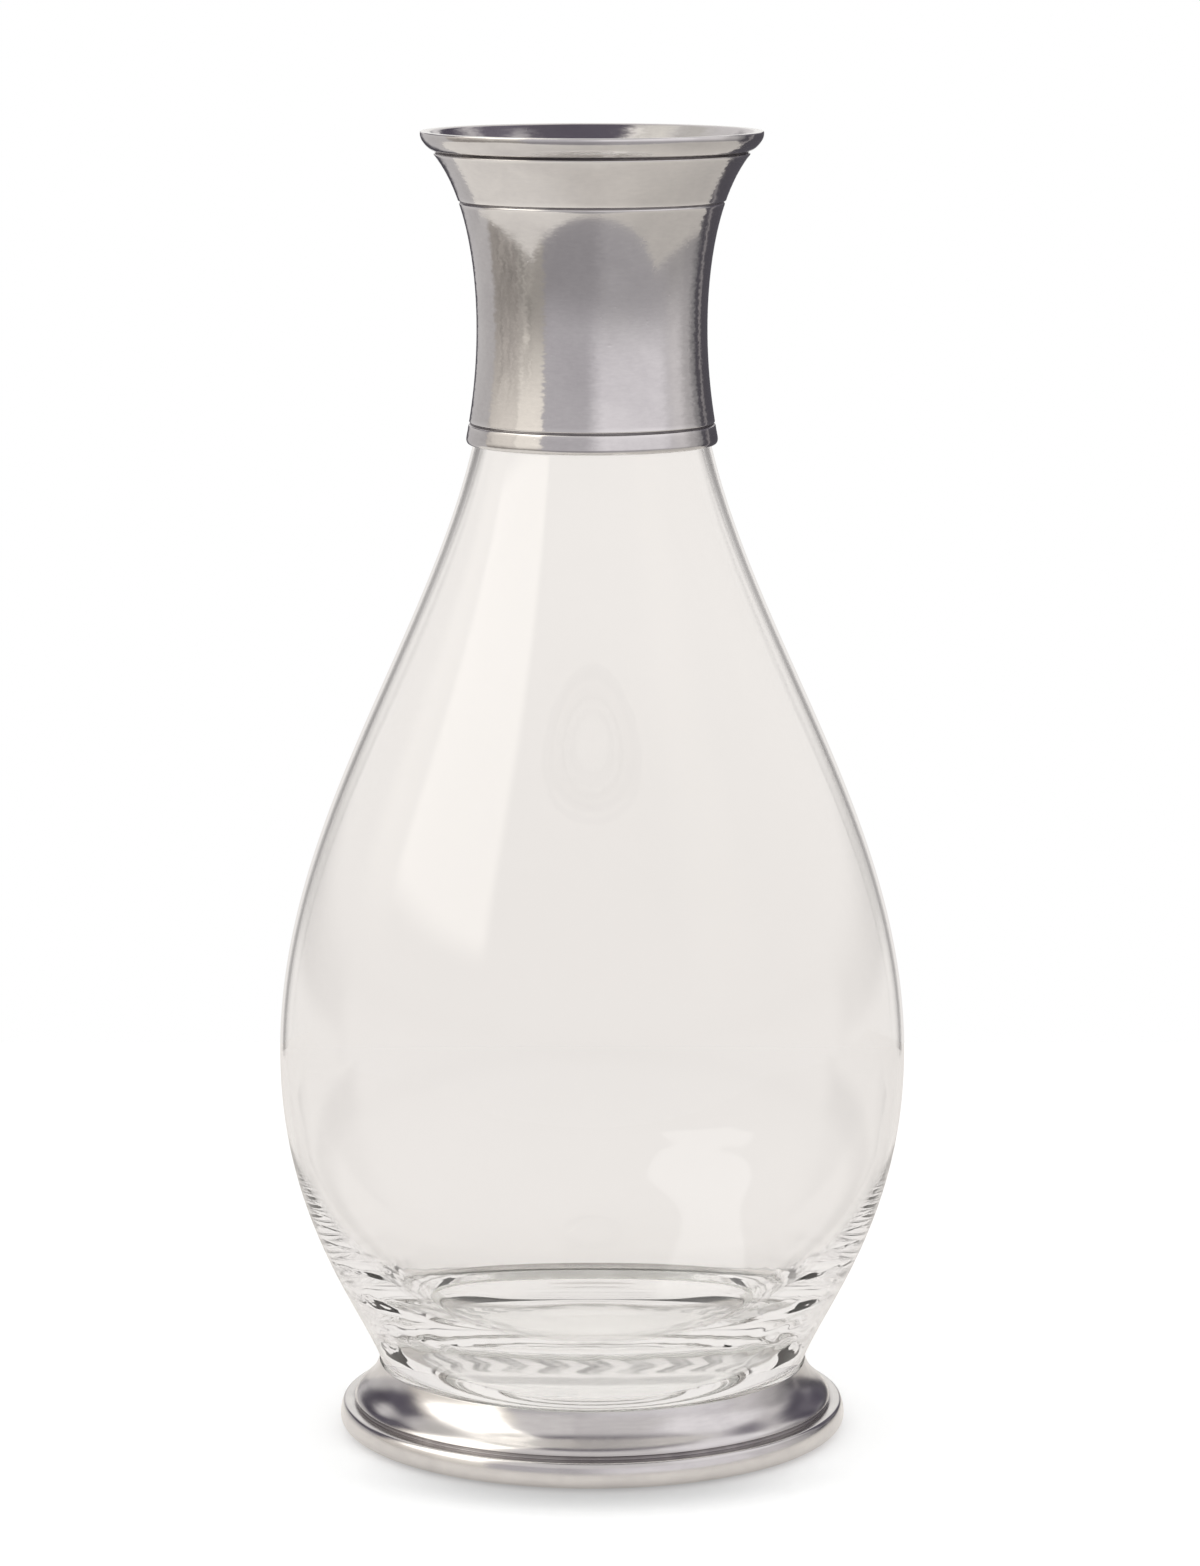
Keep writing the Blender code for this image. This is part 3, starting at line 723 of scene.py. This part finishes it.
cementShape = {
    "segments": 160, "spacing": 1.5, "sleeveSteps": 4, "roundSteps": 3,
    "gap": 0.3, "layer": 0.4, "round": 0.12,
    "sleeveBottom": 202.5, "sleeveTop": glassShape["waistHeight"], "rim": glassShape["top"],
    "bore": collarShape["throatRadius"], "bondTop": 10.0, "seatRadius": glassShape["seatRadius"],
    "holeRadius": footShape["holeRadius"], "flangeTop": footShape["flangeTop"],
    "dishTop": footShape["dishTop"],
}


def closedLayer(points, shape):
    points = soften(points, {i: shape["round"] for i in range(len(points))}, shape["roundSteps"])
    return refine(points + [points[0]], shape["spacing"])


def collarCementSection(shape):
    over = shape["rim"] + shape["gap"]
    top = over + shape["layer"]
    near = shape["gap"]
    far = near + shape["layer"]
    neck = radiusAt(neckOutline, shape["sleeveTop"])
    inner = besideGlass(shape["sleeveBottom"], shape["sleeveTop"], shape["sleeveSteps"], near)
    outer = besideGlass(shape["sleeveBottom"], shape["sleeveTop"], shape["sleeveSteps"], far)
    ring = [at(neck + near, over), at(shape["bore"] + near, over),
            at(shape["bore"] + near, top), at(neck + far, top)]
    return closedLayer(inner + ring + outer[::-1], shape)


def footCementSection(shape):
    cup = radiusAt(neckOutline, shape["dishTop"]) + shape["gap"]
    low = shape["flangeTop"] + shape["gap"]
    high = low + shape["layer"]
    inner = shape["holeRadius"] + shape["gap"]
    glassSide = radiusAt(neckOutline, shape["bondTop"]) + shape["gap"]
    points = [at(inner, low), at(inner, high), at(shape["seatRadius"] + shape["gap"], high),
              at(glassSide, shape["bondTop"]), at(cup - shape["gap"], shape["bondTop"]),
              at(cup - shape["gap"], low)]
    return closedLayer(points, shape)


collarCement = turnPiece("collarCement", collarCementSection(cementShape), cement, cementShape)
place(collarCement, "collar_cement", "cement")
footCement = turnPiece("footCement", footCementSection(cementShape), cement, cementShape)
place(footCement, "foot_cement", "cement")
print("pieces placed")


# studio: a white world for the camera, and soft panels round the carafe for all other rays

studio = {
    "white": (1, 1, 1, 1), "dome": (0.97, 0.97, 0.97, 1), "gathered": (2.4, 2.4, 2.35, 1),
    "grainScale": 22.0, "grainLow": 0.58, "grainHigh": 1.46,
    "room": (0.075, 0.07, 0.085, 1), "roomThrough": (0.15, 0.14, 0.14, 1),
    # name, azimuth from the camera, half width, feather, lowest, highest, feather, colour
    "panels": [
        ("walls", 0, 200, 5, 2, 100, 5, (0.815, 0.79, 0.80, 1)),
        ("rightDark", 150, 28, 2, -60, 9, 4, (0.10, 0.094, 0.11, 1)),
        ("rightGap", 135, 2.5, 2, -60, 30, 2, (0.32, 0.30, 0.31, 1)),
        ("rightEnd", 114, 9, 4, -60, 22, 6, (0.30, 0.29, 0.30, 1)),
        ("rightFar", 102, 12, 6, -60, 22, 7, (0.375, 0.36, 0.37, 1)),
        ("rightFarRise", 102, 12, 6, -10, 22, 8, (0.56, 0.54, 0.55, 1)),
        ("right", 80, 20, 8, -60, 22, 7, (0.455, 0.44, 0.445, 1)),
        ("rightRise", 80, 20, 8, -8, 22, 7, (0.81, 0.78, 0.80, 1)),
        ("leftFar", -134, 26, 4, -60, 18, 4, (0.62, 0.60, 0.605, 1)),
        ("left", -92, 21, 3, -60, 30, 6, (0.41, 0.38, 0.355, 1)),
        ("leftRise", -92, 21, 3, 1, 40, 12, (1.01, 0.95, 0.885, 1)),
        ("leftCard", -61, 16, 3, -60, 30, 6, (0.445, 0.42, 0.39, 1)),
        ("leftCardRise", -61, 16, 3, -1, 40, 11, (1.12, 1.06, 0.985, 1)),
        ("front", -9, 39, 2, -60, 19, 5, (0.384, 0.37, 0.39, 1)),
        ("frontRise", -9, 39, 2, -9, 19, 6, (0.60, 0.58, 0.613, 1)),
        ("frontRight", 43, 35, 11, -60, 24, 7, (0.485, 0.47, 0.49, 1)),
        ("frontRightRise", 40, 38, 10, -5, 24, 7, (0.95, 0.92, 0.965, 1)),
        ("fill", 75, 32, 8, 26, 58, 8, (1.05, 1.02, 1.06, 1)),
        ("cornerRight", 141, 17, 5, 9, 36, 5, (0.19, 0.175, 0.21, 1)),
        ("cornerStreak", 134, 5, 3, 9, 34, 4, (0.10, 0.09, 0.12, 1)),
        ("cornerEnd", 154, 6, 3, 7, 34, 4, (0.10, 0.09, 0.12, 1)),
        ("cornerLeft", -142, 15, 5, 8, 22, 4, (0.09, 0.08, 0.105, 1)),
        ("cornerLeftHigh", -120, 13, 6, 8, 37, 5, (0.13, 0.118, 0.15, 1)),
        ("mouthDark", 130, 22, 6, 42, 70, 6, (0.20, 0.18, 0.225, 1)),
        ("mouthRight", -128, 24, 6, 42, 58, 6, (0.67, 0.65, 0.63, 1)),
        ("ceiling", 78, 148, 6, 63, 100, 6, (0.15, 0.135, 0.17, 1)),
        ("backdrop", 180, 6, 3, -60, 35, 3, (0.97, 0.955, 0.935, 1)),
        ("key", -76, 24, 3, 16, 77, 3, (2.3, 2.23, 2.12, 1)),
        ("keyTop", -102, 46, 5, 58, 73, 4, (0.95, 0.92, 0.87, 1)),
        ("zenith", 0, 200, 4, 74, 100, 3, (0.15, 0.135, 0.17, 1)),
    ],
    "grain": ("grain", -84, 22, 3, -60, 2, 4),
    "through": [
        ("sky", 0, 200, 4, 4, 100, 4, (0.90, 0.873, 0.855, 1)),
        ("key", -82, 38, 3, 16, 77, 3, (0.93, 0.904, 0.88, 1)),
        ("front", 0, 105, 6, -60, 5, 6, (0.90, 0.873, 0.855, 1)),
        ("backdrop", 180, 16, 3, -60, 5, 3, (0.905, 0.872, 0.848, 1)),
        ("horizon", 180, 16, 3, -60, -8.5, 2.5, (0.86, 0.826, 0.803, 1)),
        ("sideLeft", -130, 24, 5, -60, -4, 2, (0.88, 0.85, 0.828, 1)),
        ("sideRight", 130, 24, 5, -60, -4, 2, (0.88, 0.85, 0.828, 1)),
    ],
    "mirrored": [
        ("walls", 0, 200, 5, -100, 100, 5, (0.80, 0.775, 0.755, 1)),
        ("soft", 54, 13, 9, 12, 70, 8, (1.05, 1.0, 0.94, 1)),
        ("keySide", -100, 10, 6, 12, 66, 6, (1.45, 1.4, 1.31, 1)),
        ("key", -67, 24, 3, 16, 77, 3, (2.9, 2.8, 2.62, 1)),
    ],
}


def makePanelGroup():
    names = ("Azimuth", "Elevation", "Middle", "Half Width", "Side Feather", "Lowest", "Highest",
             "End Feather")
    group, given, result = newGroup("lightPanel", [], names, ["Mask"])
    value = {n: given.outputs[n] for n in names}
    apart = mathOf(group, "ABSOLUTE", mathOf(group, "WRAP", mathOf(
        group, "SUBTRACT", value["Azimuth"], value["Middle"]), 180.0, -180.0))

    def past(limit, other, feather):
        low = mathOf(group, "SUBTRACT", limit, feather)
        high = mathOf(group, "ADD", limit, feather)
        return ramp(group, other, low, high)

    across = mathOf(group, "SUBTRACT", 1.0, past(value["Half Width"], apart, value["Side Feather"]))
    above = past(value["Lowest"], value["Elevation"], value["End Feather"])
    below = mathOf(group, "SUBTRACT", 1.0, past(value["Highest"], value["Elevation"], value["End Feather"]))
    mask = mathOf(group, "MULTIPLY", across, mathOf(group, "MULTIPLY", above, below))
    feed(group, mask, result.inputs["Mask"])
    return group


def cameraHeading(tree):
    # light and table turn with the camera, so the studio looks the same from every side
    ahead = addNode(tree, "ShaderNodeVectorTransform", {0: (0, 0, 1)}, vector_type="VECTOR",
                    convert_from="CAMERA", convert_to="WORLD")
    view = partsOf(tree, ahead.outputs[0])
    return mathOf(tree, "ARCTAN2", view["X"], view["Y"])


def makeWorld(setup):
    world = bpy.data.worlds.new("studio")
    world.use_nodes = True
    tree = world.node_tree
    tree.nodes.clear()
    away = addNode(tree, "ShaderNodeTexCoord").outputs["Generated"]
    parts = partsOf(tree, away)
    bearing = mathOf(tree, "ARCTAN2", parts["X"], mathOf(tree, "MULTIPLY", parts["Y"], -1.0))
    azimuth = mathOf(tree, "DEGREES", mathOf(tree, "ADD", bearing, cameraHeading(tree)))
    elevation = mathOf(tree, "DEGREES", mathOf(tree, "ARCSINE", parts["Z"]))
    group = makePanelGroup()

    def maskOf(name, middle, half, sideFeather, lowest, highest, endFeather):
        panel = addNode(tree, "ShaderNodeGroup", node_tree=group, label=name)
        for label, value in (("Middle", middle), ("Half Width", half), ("Side Feather", sideFeather),
                             ("Lowest", lowest), ("Highest", highest), ("End Feather", endFeather)):
            feed(tree, float(value), panel.inputs[label])
        feed(tree, azimuth, panel.inputs["Azimuth"])
        feed(tree, elevation, panel.inputs["Elevation"])
        return panel.outputs["Mask"]

    def hang(panels, room):
        light = room
        for *shape, colour in panels:
            light = mixColour(tree, maskOf(*shape), light, colour)
        return light

    path = addNode(tree, "ShaderNodeLightPath").outputs
    reflected = hang(setup["panels"], setup["room"])
    grain = noiseOf(tree, away, setup["grainScale"], 3.0)
    strength = ramp(tree, grain, *noiseRange, setup["grainLow"], setup["grainHigh"])
    grained = vectorOf(tree, "SCALE", reflected, scale=strength)
    reflected = mixColour(tree, maskOf(*setup["grain"]), reflected, grained)
    # what lies behind the glass, and the light that it lets through to the matt pieces
    soft = mathOf(tree, "MINIMUM", path["Diffuse Depth"], 1.0)
    through = mixColour(tree, soft, hang(setup["through"], setup["roomThrough"]), setup["gathered"])
    # the smooth glass mirrors a plainer studio than the brushed pewter
    light = mixColour(tree, path["Is Singular Ray"], reflected, hang(setup["mirrored"], setup["room"]))
    light = mixColour(tree, path["Is Transmission Ray"], light, through)
    light = mixColour(tree, path["Is Diffuse Ray"], light, setup["dome"])
    light = mixColour(tree, path["Is Camera Ray"], light, setup["white"])
    background = addNode(tree, "ShaderNodeBackground", {"Color": light})
    addNode(tree, "ShaderNodeOutputWorld", {"Surface": background.outputs[0]})
    world.cycles.sampling_method = "NONE"
    bpy.context.scene.world = world


# table, in millimetres from the axis

glassBounces = 48
tableLook = {
    "left": -580, "right": 705, "front": -335, "back": 360, "drop": 0.05,
    "white": (0.80, 0.80, 0.80, 1), "warm": (0.81, 0.772, 0.735, 1), "through": (0.80, 0.765, 0.742, 1),
    "cameraGlow": 0.32, "throughGlow": 0.12,
    "contactRadius": 50, "contactReach": 17, "contactShade": 0.57, "contactFull": -1.1, "contactNone": -0.45,
    "poolRadius": 44, "poolFeather": 8, "poolGlow": 0.23,
    "gleamFrom": 22, "gleamTo": 53, "gleamSoft": 1.5, "gleamNear": 78, "gleamFar": 310, "gleamFeather": 8,
    "gleamGlow": 1.1, "gleamBend": 34, "gleamNoise": 0.014,
    "streaks": 20, "streakSlant": 2.5, "streakRise": 3.4, "streakFrom": 29.5, "streakTo": 41.0,
    "streakFeather": 0.8, "streakShade": 0.46, "streakEdge": 0.7, "streakSecond": 0.6, "streakOffset": 1.1,
    "streakNoise": 0.1, "streakPatches": (0.35, 0.6), "streakFaint": 0.4,
    "ringFrom": 21.5, "ringTo": 27.0, "ringFeather": 1.0, "ringFront": -6.0, "ringShade": 0.24,
    "farFrom": 120.0, "farShade": 0.04, "rightFrom": 60.0, "rightTo": 320.0, "rightShade": 0.16,
    "footNear": 60.0, "footFar": 120.0, "footGlow": 0.24,
    "leftFrom": -220.0, "leftTo": 20.0, "leftGlow": 0.14,
}


def makeTable(look):
    mesh = bpy.data.meshes.new("table")
    corners = [(look[x] * mm, look[y] * mm, -look["drop"] * mm) for x, y in
               (("left", "front"), ("right", "front"), ("right", "back"), ("left", "back"))]
    mesh.from_pydata(corners, [], [(0, 1, 2, 3)])
    table = bpy.data.objects.new("table", mesh)
    bpy.context.scene.collection.objects.link(table)
    material = bpy.data.materials.new("whiteTable")
    material.use_nodes = True
    tree = material.node_tree
    tree.nodes.clear()

    def times(*values):
        product = values[0]
        for value in values[1:]:
            product = mathOf(tree, "MULTIPLY", product, value)
        return product

    def less(value):
        return mathOf(tree, "SUBTRACT", 1.0, value)

    def within(value, low, high, feather):
        start = ramp(tree, value, low - feather, low + feather)
        return times(start, ramp(tree, value, high - feather, high + feather, 1.0, 0.0))

    path = addNode(tree, "ShaderNodeLightPath").outputs
    seen, passed, mirrored = path["Is Camera Ray"], path["Is Transmission Ray"], path["Is Reflection Ray"]
    turned = addNode(tree, "ShaderNodeVectorRotate",
                     {"Vector": objectPlace(tree), "Angle": cameraHeading(tree)}, rotation_type="Z_AXIS")
    where = vectorOf(tree, "SCALE", turned.outputs[0], scale=1 / mm)
    apart = vectorOf(tree, "LENGTH", where)
    parts = partsOf(tree, where)
    turn = mathOf(tree, "ARCTAN2", parts["X"], times(parts["Y"], -1.0))
    paint = mixColour(tree, passed, look["warm"], look["through"])
    paint = mixColour(tree, seen, paint, look["white"])
    # the darkest part of the shadow, close to the front of the foot
    facing = ramp(tree, mathOf(tree, "DIVIDE", parts["Y"], apart), look["contactFull"], look["contactNone"],
                  look["contactShade"], 0.0)
    close = ramp(tree, apart, look["contactRadius"], look["contactRadius"] + look["contactReach"], 1.0, 0.0)
    contact = less(times(facing, seen, close))
    # streaks and a ring of shade that the ribbed heel casts under the base, seen only through the glass
    kink = mathOf(tree, "DIVIDE", mathOf(tree, "PINGPONG", apart, look["streakRise"]), look["streakRise"])
    phase = mathOf(tree, "MULTIPLY_ADD", kink, look["streakSlant"], times(turn, look["streaks"]))
    second = mathOf(tree, "SINE", mathOf(tree, "MULTIPLY_ADD", phase, 2.0, look["streakOffset"]))
    wave = mathOf(tree, "ADD", mathOf(tree, "SINE", phase), times(look["streakSecond"], second))
    cloud = noiseOf(tree, where, look["streakNoise"], 1.0)
    patchy = ramp(tree, cloud, *look["streakPatches"], look["streakFaint"], 1.0)
    streak = times(ramp(tree, wave, 0.0, look["streakEdge"]), patchy, look["streakShade"],
                   within(apart, look["streakFrom"], look["streakTo"], look["streakFeather"]))
    ring = times(within(apart, look["ringFrom"], look["ringTo"], look["ringFeather"]),
                 ramp(tree, parts["Y"], look["ringFront"], 0.0, look["ringShade"], 0.0))
    # painted shade: the far side is a little darker through the glass, and the right side where it is
    # mirrored
    far = ramp(tree, parts["Y"], look["farFrom"], look["back"], 0.0, look["farShade"])
    right = ramp(tree, parts["X"], look["rightFrom"], look["rightTo"], 0.0, look["rightShade"])
    shade = times(mathOf(tree, "ADD", mathOf(tree, "ADD", streak, ring), far), passed)
    clear = less(mathOf(tree, "MULTIPLY_ADD", right, mirrored, shade))
    # light gathered by the glass: a pool under the base, and a window's gleam that only the glass mirrors
    poolEdge = look["poolRadius"] - look["poolFeather"]
    pool = ramp(tree, apart, poolEdge, look["poolRadius"], look["poolGlow"], 0.0)
    bend = mathOf(tree, "SUBTRACT", noiseOf(tree, where, look["gleamNoise"], 0.0), 0.5)
    bent = mathOf(tree, "MULTIPLY_ADD", bend, look["gleamBend"], mathOf(tree, "DEGREES", turn))
    gleam = times(within(bent, look["gleamFrom"], look["gleamTo"], look["gleamSoft"]),
                  within(apart, look["gleamNear"], look["gleamFar"], look["gleamFeather"]),
                  look["gleamGlow"], path["Is Singular Ray"], mirrored)
    # the pewter mirrors a brighter table next to the foot and on the side of the key panel
    near = ramp(tree, apart, look["footNear"], look["footFar"], look["footGlow"], 0.0)
    left = ramp(tree, parts["X"], look["leftFrom"], look["leftTo"], look["leftGlow"], 0.0)
    metal = times(mathOf(tree, "ADD", near, left), less(path["Is Singular Ray"]), path["Is Glossy Ray"])
    strength = mathOf(tree, "ADD", gleam, metal)
    strength = mathOf(tree, "MULTIPLY_ADD", passed, mathOf(tree, "ADD", pool, look["throughGlow"]), strength)
    strength = mathOf(tree, "MULTIPLY_ADD", seen, look["cameraGlow"], strength)
    paint = vectorOf(tree, "SCALE", paint, scale=times(contact, clear))
    matt = addNode(tree, "ShaderNodeBsdfDiffuse", {"Color": paint})
    glow = addNode(tree, "ShaderNodeEmission", {"Strength": times(strength, clear)})
    both = addNode(tree, "ShaderNodeAddShader", {0: matt.outputs[0], 1: glow.outputs[0]})
    addNode(tree, "ShaderNodeOutputMaterial", {"Surface": both.outputs[0]})
    table.data.materials.append(material)


makeWorld(studio)
makeTable(tableLook)
bpy.context.scene.view_settings.view_transform = "Standard"
for limit in ("max_bounces", "glossy_bounces", "transmission_bounces"):
    setattr(bpy.context.scene.cycles, limit, glassBounces)
print("studio set")
